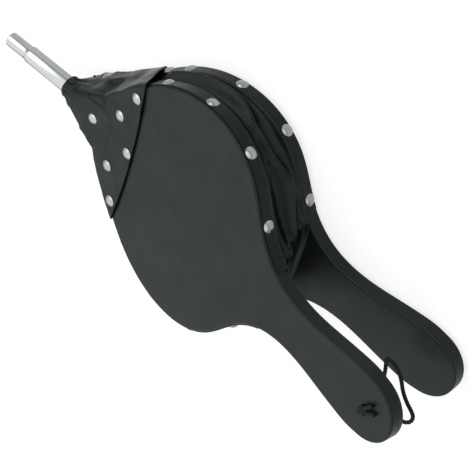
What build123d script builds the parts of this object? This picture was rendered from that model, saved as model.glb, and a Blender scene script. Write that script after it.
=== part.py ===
from build123d import *
import os
from math import pi, radians, tan

# Fireplace bellows, in millimetres. +Z is up and the lower board lies on the floor.
# +X points along the blow pipe. Stations run back from the boards' wide front, x = FRONT_X - station.

# Boards, with the leather and the nail heads that the lower board lies on
BOARD_T = 12.0
BOARD_EDGE_R = 1.8
LEATHER_T = 1.2
HEAD_R = 4.7
HEAD_H = 2.2
LOWER_Z = LEATHER_T + HEAD_H
FRONT_X = 109.5
INNER_Z = LOWER_Z + BOARD_T
REST_OPEN = 9.33
UPPER_SET_BACK = 1.0
HANDLE_END_S = 330.0

# Nose block
BLOCK_H = 16.4
BLOCK_FRONT_S = -34.0
BLOCK_REAR_S = -5.0
BLOCK_FRONT_HALF = 10.0
BLOCK_REAR_HALF = 25.0
BEVEL_END_S = -10.0
BEVEL_END_HALF = 22.4
BEVEL_FRONT_HALF = 3.0
BEVEL_DEPTH = 6.0
NOSE_TAPER_S = 26.0
NOSE_TAPER_HALF = 62.2
HINGE_S = -4.5
HINGE_X = FRONT_X - HINGE_S
HINGE_Z = INNER_Z + BLOCK_H
# The upper board's own frame has the hinge line at its origin and its top face at z = 0.
UPPER_DATUM = HINGE_S - UPPER_SET_BACK

# Blow pipe
PIPE_Z = INNER_Z + 6.0
PIPE_BASE_R = 6.9
PIPE_TIP_R = 6.0
PIPE_WALL = 1.0
PIPE_ROOT_S = -16.0
PIPE_SWAGE_S = -89.0
PIPE_SWAGE_LEN = 4.0
PIPE_TIP_S = -111.0
AIRWAY_R = 5.0

# Leather
STRIP_T = 0.8
STRIP_W = 33.0
STRIP_REACH = 13.0
WRAP_CENTRE_S = 37.4
WRAP_SIDE_S = 32.6
WRAP_SIDE_Y = 69.0
COLLAR_END_S = -48.0
COLLAR_END_R = 8.3
COLLAR_START_R = 11.5
HINGE_RELIEF = 1.3
BAND_START_S = 36.0
BAND_END_S = 208.0
BAND_MARGIN = 1.5
GUSSET_INSET = 3.0
GUSSET_WALL = 3.0
GUSSET_CLEAR = 0.35

# Air intake
INTAKE_S = 105.0
INTAKE_R = 12.0
FLAP_HALF_W = 19.0
FLAP_FRONT_S = 86.0
FLAP_REAR_S = 123.0
FLAP_T = 1.5
FLAP_TAB_LEN = 12.0
FLAP_CLEAR = 0.3

# Domed nails
SHANK_R = 0.9
SHANK_LEN = 10.0
EDGE_NAIL_STATIONS = (48.0, 92.0, 137.0, 172.0)
WRAP_NAILS_UPPER = ((16.0, 26.0), (16.0, -26.0), (28.0, 53.0), (28.0, -53.0), (32.4, 1.6))
BLOCK_NAIL = (-9.1, 1.2)
SIDE_NAIL_S = -22.5
SIDE_NAIL_Z = INNER_Z - 8.0
CORNER_NAIL_S = 30.5

# Cord
CORD_R = 1.5
CORD_HOLE_S = 304.6
CORD_HOLE_R = 3.8
STRAND_OFFSET = 1.65
KNOT_R = 4.6
KNOT_H = 6.0
TAIL_LEN = 9.0
# Station, offset to the -Y side and depth below the upper board, from one strand in the hole to the other
CORD_ROUTE = (
    (302.95, 0.0, -11.5),
    (302.95, 0.0, -4.0),
    (302.5, 0.3, 3.5),
    (298.0, 1.0, 10.5),
    (291.5, 2.5, 17.5),
    (285.5, 3.5, 24.5),
    (279.0, 3.5, 31.0),
    (287.0, -2.2, 36.5),
    (295.5, -6.0, 34.5),
    (303.2, -6.0, 28.5),
    (312.0, -5.2, 23.4),
    (320.5, -3.5, 19.5),
    (326.5, -1.5, 15.5),
    (329.0, -1.0, 10.0),
    (326.0, -2.0, 6.0),
    (319.5, -1.5, 4.6),
    (312.5, -0.5, 4.8),
    (307.6, 0.0, 3.0),
    (306.3, 0.0, -1.5),
    (306.2, 0.0, -6.5),
    (306.25, 0.1, -11.5),
)

# Half width of a board at stations along its side, from the front to where the round end begins
SIDE_POINTS = (
    (0.0, 33.5),
    (30.0, 66.0),
    (60.0, 89.2),
    (90.0, 99.6),
    (120.0, 98.4),
    (150.0, 81.5),
    (180.0, 41.5),
    (205.0, 24.8),
    (230.0, 20.7),
    (260.0, 23.7),
    (290.0, 27.6),
    (308.0, 26.2),
)
FRONT_TANGENT = (1.0, 1.15)
END_TANGENT = (1.0, -0.175)


def side_curve(datum_x, side, grow=0.0):
    """One side of the board's edge, from the front to the round end, moved out square to itself by grow."""
    tangents = [Vector(-s, side * y) for s, y in (FRONT_TANGENT, END_TANGENT)]
    edge = Spline(*[(datum_x - s, side * y) for s, y in SIDE_POINTS], tangents=tangents)
    if grow == 0:
        return edge
    moved = []
    for s, y in SIDE_POINTS:
        point = Vector(datum_x - s, side * y)
        along = edge % edge.param_at_point(point)
        moved.append(point + Vector(along.Y, -along.X) * side * grow)
    return Spline(*moved, tangents=tangents)


def board_plan(datum_x, front, grow=0.0):
    """A board's flat outline. front is the list of points that closes it at the nose."""
    left = side_curve(datum_x, 1, grow)
    right = side_curve(datum_x, -1, grow)
    end = left @ 1
    tip = ThreePointArc(end, (datum_x - HANDLE_END_S - grow, 0), (end.X, -end.Y))
    corner = [left @ 0] + [(datum_x - s, y + grow) for s, y in front]
    corner += [(datum_x - s, -y - grow) for s, y in reversed(front)] + [right @ 0]
    return make_face(left + tip + right + Polyline(*corner))


def nose_taper(grow=0.0):
    """The lower board runs on under the nose block and narrows evenly to the nose."""
    front_x = FRONT_X - BLOCK_FRONT_S + grow
    wide_x = FRONT_X - NOSE_TAPER_S
    front_y = BLOCK_FRONT_HALF + grow
    wide_y = NOSE_TAPER_HALF + grow
    corners = [(front_x, front_y), (wide_x, wide_y), (wide_x, -wide_y), (front_x, -front_y)]
    return make_face(Polyline(*corners, close=True))


def lower_plan(grow=0.0):
    return board_plan(FRONT_X, [], grow) + nose_taper(grow)


def upper_plan(grow=0.0):
    """The upper board ends square at the hinge. Drawn in its own frame."""
    return board_plan(UPPER_DATUM, [(HINGE_S - UPPER_SET_BACK, BLOCK_REAR_HALF)], grow)


def slab(face, z, height):
    return Pos(0, 0, z) * extrude(face, height, dir=(0, 0, 1))


def station_box(datum_x, s_from, s_to, z_from, z_to, half_width=120.0):
    """A box between two stations, for trimming."""
    centre = (datum_x - (s_from + s_to) / 2, 0, (z_from + z_to) / 2)
    return Pos(*centre) * Box(abs(s_to - s_from), 2 * half_width, z_to - z_from)


def cylinder_x(s_from, s_to, radius):
    """A cylinder on the pipe's axis between two stations."""
    centre_x = FRONT_X - (s_from + s_to) / 2
    return Pos(centre_x, 0, PIPE_Z) * Rot(0, 90, 0) * Cylinder(radius, abs(s_to - s_from))


def swung(shape):
    """Turns a piece of the upper board from the hinge's own frame to the rest position."""
    return Pos(HINGE_X, 0, HINGE_Z) * Rot(0, REST_OPEN, 0) * shape


def round_rims(board, z_levels):
    """Breaks the long edges of a board's two faces."""
    rims = [e for e in board.edges() if e.bounding_box().size.Z < 0.01 and e.length > 67.5]
    rims = [e for e in rims if min(abs(e.center().Z - z) for z in z_levels) < 0.01]
    return fillet(rims, BOARD_EDGE_R)


def lower_board():
    board = slab(board_plan(FRONT_X, []), LOWER_Z, BOARD_T)
    board = round_rims(board, (LOWER_Z, INNER_Z))
    board += slab(nose_taper(), LOWER_Z, BOARD_T)
    intake = Pos(FRONT_X - INTAKE_S, 0, LOWER_Z + BOARD_T / 2) * Cylinder(INTAKE_R, 3 * BOARD_T)
    return board - intake - cylinder_x(BLOCK_FRONT_S - 5, PIPE_ROOT_S, PIPE_BASE_R)


def upper_board():
    board = slab(upper_plan(), -BOARD_T, BOARD_T)
    board = round_rims(board, (-BOARD_T, 0))
    hole = Pos(UPPER_DATUM - CORD_HOLE_S, 0, -BOARD_T / 2) * Cylinder(CORD_HOLE_R, 3 * BOARD_T)
    return swung(board - hole)


def block_plan(grow=0.0):
    rear = (FRONT_X - BLOCK_REAR_S, BLOCK_REAR_HALF + grow)
    front = (FRONT_X - BLOCK_FRONT_S + grow, BLOCK_FRONT_HALF + grow)
    return make_face(Polyline(rear, front, (front[0], -front[1]), (rear[0], -rear[1]), close=True))


def bevel_plane(side):
    """The plane that cuts off one top corner of the block, more and more towards the pipe."""
    start = Vector(FRONT_X - BEVEL_END_S, side * BEVEL_END_HALF, HINGE_Z)
    top = Vector(FRONT_X - BLOCK_FRONT_S, side * BEVEL_FRONT_HALF, HINGE_Z)
    low = Vector(FRONT_X - BLOCK_FRONT_S, side * BLOCK_FRONT_HALF, HINGE_Z - BEVEL_DEPTH)
    outward = (top - start).cross(low - start)
    if outward.Z < 0:
        outward = -outward
    return Plane(origin=start, z_dir=outward)


def nose_block():
    block = slab(block_plan(), INNER_Z, BLOCK_H)
    for side in (-1, 1):
        block = split(block, bisect_by=bevel_plane(side), keep=Keep.BOTTOM)
    socket = cylinder_x(BLOCK_FRONT_S - 5, PIPE_ROOT_S, PIPE_BASE_R)
    airway = cylinder_x(PIPE_ROOT_S - 1, 5, AIRWAY_R)
    return block - socket - airway


def blow_pipe():
    """A tube with one swaged step towards its tip."""
    inner_base = PIPE_BASE_R - PIPE_WALL
    inner_tip = PIPE_TIP_R - PIPE_WALL
    swage_end_s = PIPE_SWAGE_S - PIPE_SWAGE_LEN
    profile = [
        (PIPE_ROOT_S, inner_base),
        (PIPE_ROOT_S, PIPE_BASE_R),
        (PIPE_SWAGE_S, PIPE_BASE_R),
        (swage_end_s, PIPE_TIP_R),
        (PIPE_TIP_S, PIPE_TIP_R),
        (PIPE_TIP_S, inner_tip),
        (swage_end_s, inner_tip),
        (PIPE_SWAGE_S, inner_base),
    ]
    points = [(FRONT_X - s, 0, PIPE_Z + r) for s, r in profile]
    axis = Axis((0, 0, PIPE_Z), (1, 0, 0))
    return revolve(make_face(Polyline(*points, close=True)), axis, 360)


def block_screws():
    """Two countersunk screws, driven up through the lower board into the block."""
    screws = []
    for y in (-14.0, 14.0):
        head = Pos(0, 0, 1.25) * Cone(4.0, 1.8, 2.5)
        shank = Pos(0, 0, 12.5) * Cylinder(1.8, 20.0)
        screws.append(Pos(FRONT_X + 12.0, y, LOWER_Z) * (head + shank))
    return screws


def hinge_strip():
    """Leather glued over the joint of block and upper board, under the wrap."""
    on_block = Pos(HINGE_X + STRIP_REACH / 2, 0, HINGE_Z + STRIP_T / 2) * Box(STRIP_REACH, STRIP_W, STRIP_T)
    on_board = swung(Pos(-STRIP_REACH / 2, 0, STRIP_T / 2) * Box(STRIP_REACH, STRIP_W, STRIP_T))
    return on_block + on_board


def arc_sheet(datum_x, s_front, z_from, z_to):
    """A plate from a station back to the wrap's curved rear edge, wider than the board."""
    wide = 120.0
    arc = ThreePointArc(
        (datum_x - WRAP_SIDE_S, -WRAP_SIDE_Y),
        (datum_x - WRAP_CENTRE_S, 0),
        (datum_x - WRAP_SIDE_S, WRAP_SIDE_Y),
    )
    rest = Polyline(
        (datum_x - WRAP_SIDE_S, WRAP_SIDE_Y),
        (datum_x - WRAP_SIDE_S, wide),
        (datum_x - s_front, wide),
        (datum_x - s_front, -wide),
        (datum_x - WRAP_SIDE_S, -wide),
        (datum_x - WRAP_SIDE_S, -WRAP_SIDE_Y),
    )
    return slab(make_face(arc + rest), z_from, z_to - z_from)


def nose_wrap(wood):
    """The wrap on the block, round its sides, and under the lower board."""
    top_z = HINGE_Z + STRIP_T + LEATHER_T
    block_end = BLOCK_REAR_S - HINGE_RELIEF
    floor_z = LOWER_Z - LEATHER_T
    round_block = slab(block_plan(LEATHER_T), floor_z, top_z - floor_z)
    round_block -= station_box(FRONT_X, block_end, 0, 0, 2 * top_z)
    round_block -= slab(block_plan(), LOWER_Z, BOARD_T + BLOCK_H + STRIP_T)
    low = slab(lower_plan(LEATHER_T), floor_z, INNER_Z - BAND_MARGIN - floor_z)
    low &= arc_sheet(FRONT_X, BLOCK_FRONT_S, 0, INNER_Z)
    collar_len = BLOCK_FRONT_S - COLLAR_END_S
    collar_x = FRONT_X - (BLOCK_FRONT_S + COLLAR_END_S) / 2
    collar = Pos(collar_x, 0, PIPE_Z) * Rot(0, 90, 0) * Cone(COLLAR_START_R, COLLAR_END_R, collar_len)
    wrap = round_block + low + collar
    for piece in wood:
        wrap -= piece
    return wrap - cylinder_x(COLLAR_END_S - 5, PIPE_ROOT_S, PIPE_BASE_R)


def nose_wrap_rear():
    """The part of the wrap that lies on the upper board and over its side edges."""
    plan = upper_plan()
    cover_h = BOARD_T - BAND_MARGIN + STRIP_T + LEATHER_T
    cover = slab(upper_plan(LEATHER_T), BAND_MARGIN - BOARD_T, cover_h)
    cover &= arc_sheet(UPPER_DATUM, HINGE_S - UPPER_SET_BACK + HINGE_RELIEF, -BOARD_T, 5)
    return swung(cover - slab(plan, -BOARD_T, BOARD_T + STRIP_T))


def edge_bands(datum_x, z_low):
    """The gusset's nailed margins on one board's edge, right and left."""
    trim = station_box(datum_x, BAND_START_S, BAND_END_S, z_low - 5, z_low + BOARD_T + 5)
    bands = []
    for side in (-1, 1):
        inner = side_curve(datum_x, side)
        outer = side_curve(datum_x, side, LEATHER_T)
        ends = Line(inner @ 0, outer @ 0) + Line(inner @ 1, outer @ 1)
        band = slab(make_face(inner + outer + ends), z_low + BAND_MARGIN, BOARD_T - 2 * BAND_MARGIN)
        bands.append(band & trim)
    return bands


def chamber_plan(inset):
    """The outline of the boards up to the handle's round end, drawn in by an inset."""
    left = side_curve(FRONT_X, 1, -inset)
    right = side_curve(FRONT_X, -1, -inset)
    return make_face(left + right + Line(left @ 0, right @ 0) + Line(left @ 1, right @ 1))


def gusset():
    """The bellows wall between the boards. It is open at the nose, towards the airway."""
    outer = chamber_plan(GUSSET_INSET)
    inner = chamber_plan(GUSSET_INSET + GUSSET_WALL)
    tall = 60.0
    floor_z = INNER_Z + GUSSET_CLEAR
    ends = station_box(FRONT_X, 8.0, BAND_END_S, floor_z, floor_z + tall)
    hollow = station_box(FRONT_X, 0.0, BAND_END_S - GUSSET_WALL, 0, 2 * tall)
    wall = (slab(outer, floor_z, tall) & ends) - (slab(inner, floor_z - 1, tall + 2) & hollow)
    above = swung(Pos(-200, 0, -BOARD_T - GUSSET_CLEAR + 100) * Box(500, 300, 200))
    return wall - above


def intake_flap():
    """The valve leather over the intake hole, hinged at its front margin."""
    length = FLAP_REAR_S - FLAP_FRONT_S
    centre_x = FRONT_X - (FLAP_REAR_S + FLAP_FRONT_S) / 2
    z = INNER_Z + FLAP_T / 2
    sheet = Pos(centre_x, 0, z) * Box(length, 2 * FLAP_HALF_W, FLAP_T)
    rear = sheet.edges().filter_by(Axis.Z).group_by(Axis.X)[0]
    return fillet(rear, 8.0)


def flap_margin():
    centre_x = FRONT_X - FLAP_FRONT_S + FLAP_CLEAR + FLAP_TAB_LEN / 2
    return Pos(centre_x, 0, INNER_Z + FLAP_T / 2) * Box(FLAP_TAB_LEN, 2 * FLAP_HALF_W, FLAP_T)


def tacks(places, z, head_r=3.0, head_h=1.0, shank=7.0):
    """Flat tacks driven down at the given x and y."""
    made = []
    for x, y in places:
        head = Pos(0, 0, head_h / 2) * Cylinder(head_r, head_h)
        pin = Pos(0, 0, -shank / 2) * Cylinder(0.7, shank)
        made.append(Pos(x, y, z) * (head + pin))
    return made


def flap_tacks():
    x = FRONT_X - FLAP_FRONT_S + FLAP_CLEAR + FLAP_TAB_LEN / 2
    return tacks([(x, y) for y in (-12.0, 0.0, 12.0)], INNER_Z + FLAP_T)


def domed_nail():
    """A nail on the origin, its head above the XY plane and its shank below."""
    sphere_r = (HEAD_R**2 + HEAD_H**2) / (2 * HEAD_H)
    cap = Pos(0, 0, HEAD_H - sphere_r) * Sphere(sphere_r)
    cap &= Pos(0, 0, HEAD_H) * Box(3 * HEAD_R, 3 * HEAD_R, 2 * HEAD_H)
    return cap + Pos(0, 0, -SHANK_LEN / 2) * Cylinder(SHANK_R, SHANK_LEN)


def edge_nail(datum_x, station, side, z, lift=LEATHER_T):
    """A nail driven square into a board's edge at a station. side is 1 or -1 in Y."""
    curve = side_curve(datum_x, side)
    plane_cut = Plane(origin=(datum_x - station, 0, 0), z_dir=(1, 0, 0))
    point = curve.intersect(plane_cut).vertices()[0].center()
    tangent = curve % curve.param_at_point(point)
    outward = Vector(tangent.Y, -tangent.X, 0)
    if outward.Y * side < 0:
        outward = -outward
    place = Plane(origin=point + outward * lift + Vector(0, 0, z), z_dir=outward)
    return place.location * domed_nail()


def edge_nails(datum_x, side, z):
    return [edge_nail(datum_x, s, side, z) for s in EDGE_NAIL_STATIONS]


def wrap_nails_upper():
    z = STRIP_T + LEATHER_T
    return [swung(Pos(UPPER_DATUM - s, -y, z) * domed_nail()) for s, y in WRAP_NAILS_UPPER]


def wrap_nails_lower():
    places = WRAP_NAILS_UPPER + (BLOCK_NAIL,)
    z = LOWER_Z - LEATHER_T
    return [Pos(FRONT_X - s, -y, z) * Rot(180, 0, 0) * domed_nail() for s, y in places]


def block_nail():
    s, y = BLOCK_NAIL
    return Pos(FRONT_X - s, -y, HINGE_Z + STRIP_T + LEATHER_T) * domed_nail()


def nose_side_nails():
    """One nail on each flank of the nose."""
    slope = (NOSE_TAPER_HALF - BLOCK_FRONT_HALF) / (NOSE_TAPER_S - BLOCK_FRONT_S)
    half = BLOCK_FRONT_HALF + slope * (SIDE_NAIL_S - BLOCK_FRONT_S)
    nails = []
    for side in (-1, 1):
        outward = Vector(slope, side, 0).normalized()
        origin = Vector(FRONT_X - SIDE_NAIL_S, side * half, SIDE_NAIL_Z) + outward * LEATHER_T
        nails.append(Plane(origin=origin, z_dir=outward).location * domed_nail())
    return nails


def corner_nails():
    """One nail at each rear corner of the wrap, in the lower board's edge."""
    z = LOWER_Z + BOARD_T / 2
    return [edge_nail(FRONT_X, CORNER_NAIL_S, side, z) for side in (-1, 1)]


def cord_point(station, y, depth):
    """A point under the upper board, in that board's own frame."""
    return (UPPER_DATUM - station, -y, -BOARD_T - depth)


def bend_radii(points):
    """0.45 of the shorter run at each corner, over the tangent of half the turn."""
    radii = []
    for before, here, after in zip(points, points[1:], points[2:]):
        run_in = here - before
        run_out = after - here
        turn = run_in.get_angle(run_out)
        shorter = min(run_in.length, run_out.length)
        radii.append(0.45 * shorter / tan(radians(turn / 2)))
    return radii


def hanging_cord():
    points = [Vector(*cord_point(*p)) for p in CORD_ROUTE]
    radii = bend_radii(points)
    path = FilletPolyline(*points, radius=radii)
    start = Plane(origin=points[0], z_dir=points[1] - points[0])
    tube = sweep(start * Circle(CORD_R), path=path)
    print("cord radii", [round(r, 1) for r in radii], "length", round(path.length, 1))
    ideal = path.length * pi * CORD_R**2
    print("cord volume / ideal", round(tube.volume / ideal, 4))
    return swung(tube)


def cord_knot():
    """The knot over the hole, with both cut ends of the cord."""
    x = UPPER_DATUM - CORD_HOLE_S
    ball = Pos(x, 0, KNOT_H / 2) * scale(Sphere(1), by=(KNOT_R, KNOT_R, KNOT_H / 2 + 0.4))
    ball -= Pos(x, 0, -5) * Box(30, 30, 10)
    plugs = [Pos(x + dx, 0, -0.25) * Cylinder(CORD_R, 0.5) for dx in (-STRAND_OFFSET, STRAND_OFFSET)]
    knot = ball
    for plug in plugs:
        knot += plug
    for turn in (-150, -120):
        tail = Rot(0, 0, turn) * Pos(TAIL_LEN / 2 + 1, 0, 1.6) * Rot(0, 90, 0) * Cylinder(CORD_R, TAIL_LEN)
        knot += Pos(x, 0, 0) * tail
    return swung(knot)


def save(name, shape):
    solids = shape if isinstance(shape, list) else shape.solids()
    flat = [s for piece in solids for s in piece.solids()]
    made = flat[0] if len(flat) == 1 else Compound(children=flat)
    made.label = name
    export_step(made, f"parts/{name}.step")


def build():
    os.makedirs("parts", exist_ok=True)
    lower = lower_board()
    block = nose_block()
    save("lower_board", lower)
    save("upper_board", upper_board())
    save("nose_block", block)
    save("blow_pipe", blow_pipe())
    save("block_screws", block_screws())
    save("hinge_strip", hinge_strip())
    save("nose_wrap", nose_wrap([lower, block]))
    save("nose_wrap_rear", nose_wrap_rear())
    save("gusset", gusset())
    save("intake_flap", intake_flap())
    save("flap_margin", flap_margin())
    save("flap_tacks", flap_tacks())
    for name, band in zip(("right", "left"), edge_bands(FRONT_X, LOWER_Z)):
        save(f"lower_band_{name}", band)
    for name, band in zip(("right", "left"), edge_bands(UPPER_DATUM, -BOARD_T)):
        save(f"upper_band_{name}", swung(band))
    for name, side in (("right", -1), ("left", 1)):
        lower_nails = edge_nails(FRONT_X, side, LOWER_Z + BOARD_T / 2)
        upper_nails = edge_nails(UPPER_DATUM, side, -BOARD_T / 2)
        save(f"lower_edge_nails_{name}", lower_nails)
        save(f"upper_edge_nails_{name}", [swung(n) for n in upper_nails])
    save("wrap_nails_upper", wrap_nails_upper())
    save("wrap_nails_lower", wrap_nails_lower())
    save("block_nail", block_nail())
    save("nose_side_nails", nose_side_nails())
    save("wrap_corner_nails", corner_nails())
    save("hanging_cord", hanging_cord())
    save("cord_knot", cord_knot())


build()
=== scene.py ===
"""Fireplace bellows: leather, nails, cord and finishes round the CAD frame.

Sizes are in millimetres, and meshes are made in metres through MM. Stations run back from the boards'
wide front, as in the CAD, and the side that faces the camera is -Y.
"""

import math

import bmesh
import bpy
import numpy as np
from mathutils import Matrix, Vector, noise


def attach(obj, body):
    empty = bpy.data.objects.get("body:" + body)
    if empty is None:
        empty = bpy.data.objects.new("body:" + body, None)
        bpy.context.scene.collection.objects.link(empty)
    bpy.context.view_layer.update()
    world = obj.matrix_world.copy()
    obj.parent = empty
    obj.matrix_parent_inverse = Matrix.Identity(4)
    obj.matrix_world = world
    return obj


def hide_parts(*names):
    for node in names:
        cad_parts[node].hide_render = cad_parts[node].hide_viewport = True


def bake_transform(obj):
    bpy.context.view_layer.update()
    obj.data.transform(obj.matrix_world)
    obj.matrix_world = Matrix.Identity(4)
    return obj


MM = 0.001

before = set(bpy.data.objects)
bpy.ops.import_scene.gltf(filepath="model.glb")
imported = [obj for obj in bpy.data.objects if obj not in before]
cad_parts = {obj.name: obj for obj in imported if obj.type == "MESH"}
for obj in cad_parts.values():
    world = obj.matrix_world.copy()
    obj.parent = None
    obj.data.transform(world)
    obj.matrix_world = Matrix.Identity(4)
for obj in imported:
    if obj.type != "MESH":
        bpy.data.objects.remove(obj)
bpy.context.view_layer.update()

# ---- Driving dimensions, as the CAD has them ----
FRONT_X = 109.5
BOARD_T = 12.0
LEATHER_T = 1.2
STRIP_T = 0.8
STRIP_HALF = 16.5
STRIP_REACH = 13.0
LOWER_Z = 3.4
INNER_Z = LOWER_Z + BOARD_T
BLOCK_H = 16.4
HINGE_S = -4.5
HINGE_X = FRONT_X - HINGE_S
HINGE_Z = INNER_Z + BLOCK_H
REST_OPEN = math.radians(9.33)
UPPER_DATUM = HINGE_S - 1.0
BLOCK_FRONT_S = -34.0
BLOCK_REAR_S = -5.0
BLOCK_FRONT_HALF = 10.0
BLOCK_REAR_HALF = 25.0
NOSE_TAPER_S = 26.0
NOSE_TAPER_HALF = 62.2
PIPE_Z = INNER_Z + 6.0
PIPE_BASE_R = 6.9
PIPE_TIP_R = 6.0
PIPE_WALL = 1.0
PIPE_ROOT_S = -16.0
PIPE_SWAGE_S = -89.0
PIPE_TIP_S = -111.0

# Half width of a board at stations behind its front
SIDE_POINTS = (
    (0.0, 33.5),
    (30.0, 66.0),
    (60.0, 89.2),
    (90.0, 99.6),
    (120.0, 98.4),
    (150.0, 81.5),
    (180.0, 41.5),
    (205.0, 24.8),
    (230.0, 20.7),
    (260.0, 23.7),
    (290.0, 27.6),
    (308.0, 26.2),
)
FRONT_TANGENT = (1.0, 1.15)
END_TANGENT = (1.0, -0.175)

# Nails
HEAD_R = 4.7
HEAD_H = 2.2
EDGE_NAIL_STATIONS = (48.0, 92.0, 137.0, 172.0)
WRAP_NAILS = ((16.0, 26.0), (16.0, -26.0), (28.0, 53.0), (28.0, -53.0), (32.4, 1.6))
BLOCK_NAIL = (-9.1, 1.2)
SIDE_NAIL_S = -22.5
CORNER_NAIL_S = 30.5
SIDE_NAIL_Z = INNER_Z - 8.0

# ---- Camera, in metres and degrees ----
CAMERA_AT = (-0.4799, -0.9193, 0.8737)
CAMERA_AZIMUTH = -26.17
CAMERA_ELEVATION = 39.37
CAMERA_ROLL = -123.6
LENS = 139.7


def add_camera():
    """Long lens, turned on its side so that the pipe points to the upper left."""
    azimuth = math.radians(CAMERA_AZIMUTH)
    elevation = math.radians(CAMERA_ELEVATION)
    flat = math.cos(elevation)
    back = Vector((math.sin(azimuth) * flat, -math.cos(azimuth) * flat, math.sin(elevation)))
    level = (-back).to_track_quat("-Z", "Y").to_matrix()
    turned = level @ Matrix.Rotation(math.radians(CAMERA_ROLL), 3, "Z")
    data = bpy.data.cameras.new("camera")
    data.lens = LENS
    data.sensor_width = 36.0
    data.clip_start = 0.05
    data.clip_end = 20.0
    camera = bpy.data.objects.new("camera", data)
    camera.matrix_world = Matrix.Translation(CAMERA_AT) @ turned.to_4x4()
    bpy.context.scene.collection.objects.link(camera)
    bpy.context.scene.camera = camera


add_camera()


# ---- Materials ----
class Finish:
    """A procedural material with one Principled shader, built up from noise and bumps."""

    def __init__(self, name, colour, roughness, metallic=0.0, specular=0.5):
        self.material = bpy.data.materials.new(name)
        self.material.use_nodes = True
        self.tree = self.material.node_tree
        self.shader = self.tree.nodes["Principled BSDF"]
        self.shader.inputs["Base Color"].default_value = (*colour, 1)
        self.shader.inputs["Roughness"].default_value = roughness
        self.shader.inputs["Metallic"].default_value = metallic
        self.shader.inputs["Specular IOR Level"].default_value = specular
        self.coordinates = self.tree.nodes.new("ShaderNodeTexCoord").outputs["Object"]
        self.normal = None

    def stretched(self, scale):
        """Object coordinates, stretched by different amounts along X, Y and Z."""
        mapping = self.tree.nodes.new("ShaderNodeMapping")
        mapping.inputs["Scale"].default_value = scale
        self.tree.links.new(self.coordinates, mapping.inputs["Vector"])
        return mapping.outputs["Vector"]

    def tint(self, colour):
        """Colours the gloss of a paint or leather."""
        self.shader.inputs["Specular Tint"].default_value = (*colour, 1)

    def noise(self, scale, detail=3.0, stretch=None, distortion=0.0):
        node = self.tree.nodes.new("ShaderNodeTexNoise")
        node.inputs["Scale"].default_value = scale
        node.inputs["Detail"].default_value = detail
        node.inputs["Distortion"].default_value = distortion
        vector = self.stretched(stretch) if stretch else self.coordinates
        self.tree.links.new(vector, node.inputs["Vector"])
        return node.outputs["Fac"]

    def cells(self, scale, feature="DISTANCE_TO_EDGE"):
        node = self.tree.nodes.new("ShaderNodeTexVoronoi")
        node.feature = feature
        node.inputs["Scale"].default_value = scale
        self.tree.links.new(self.coordinates, node.inputs["Vector"])
        return node.outputs["Distance"]

    def spread(self, value, low, high, to_low, to_high):
        """Maps a value's range low..high to to_low..to_high."""
        node = self.tree.nodes.new("ShaderNodeMapRange")
        for socket, number in zip(("From Min", "From Max", "To Min", "To Max"), (low, high, to_low, to_high)):
            node.inputs[socket].default_value = number
        self.tree.links.new(value, node.inputs["Value"])
        return node.outputs["Result"]

    def colour_from(self, value, stops):
        ramp = self.tree.nodes.new("ShaderNodeValToRGB")
        elements = ramp.color_ramp.elements
        while len(elements) < len(stops):
            elements.new(0.5)
        for element, (position, colour) in zip(elements, stops):
            element.position = position
            element.color = (*colour, 1)
        self.tree.links.new(value, ramp.inputs["Fac"])
        self.tree.links.new(ramp.outputs["Color"], self.shader.inputs["Base Color"])

    def rough_from(self, value):
        self.tree.links.new(value, self.shader.inputs["Roughness"])

    def bump(self, value, depth_mm, strength=1.0):
        """Adds a relief of a real depth over the ones already there."""
        node = self.tree.nodes.new("ShaderNodeBump")
        node.inputs["Strength"].default_value = strength
        node.inputs["Distance"].default_value = depth_mm * MM
        self.tree.links.new(value, node.inputs["Height"])
        if self.normal:
            self.tree.links.new(self.normal, node.inputs["Normal"])
        self.normal = node.outputs["Normal"]
        self.tree.links.new(self.normal, self.shader.inputs["Normal"])


BLACK_GLOSS = 0.17
LEATHER_GLOSS = 0.15
COOL = (0.76, 0.99, 1.0)


def painted_board():
    """Satin black paint with the faint orange peel of a sprayed coat."""
    made = Finish("painted_board", (0.004, 0.005, 0.005), 0.4, specular=BLACK_GLOSS)
    made.tint(COOL)
    drift = made.noise(14, 4)
    made.colour_from(drift, ((0.3, (0.002, 0.0024, 0.0025)), (0.7, (0.004, 0.0047, 0.0048))))
    made.rough_from(made.spread(made.noise(55, 5), 0.3, 0.7, 0.34, 0.46))
    made.bump(made.noise(700, 2), 0.05, 0.5)
    made.bump(made.noise(60, 3, stretch=(0.25, 1, 1)), 0.12, 0.3)
    return made.material


def black_leather():
    """Soft black leather: pebbled grain, fine creases and rubbed, shinier patches."""
    made = Finish("black_leather", (0.005, 0.006, 0.006), 0.35, specular=LEATHER_GLOSS)
    made.tint(COOL)
    drift = made.noise(30, 5)
    made.colour_from(drift, ((0.3, (0.0015, 0.0018, 0.0019)), (0.7, (0.004, 0.0047, 0.0048))))
    made.rough_from(made.spread(made.noise(45, 4), 0.35, 0.65, 0.27, 0.42))
    made.bump(made.noise(110, 5, distortion=0.6), 0.5, 0.35)
    made.bump(made.cells(950), 0.10, 0.5)
    return made.material


def inner_leather():
    """Rough flesh side of undyed leather."""
    made = Finish("inner_leather", (0.20, 0.125, 0.07), 0.85, specular=0.25)
    drift = made.noise(60, 5)
    made.colour_from(drift, ((0.3, (0.15, 0.09, 0.05)), (0.7, (0.26, 0.17, 0.10))))
    made.bump(made.noise(1100, 4), 0.15, 0.6)
    return made.material


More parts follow.
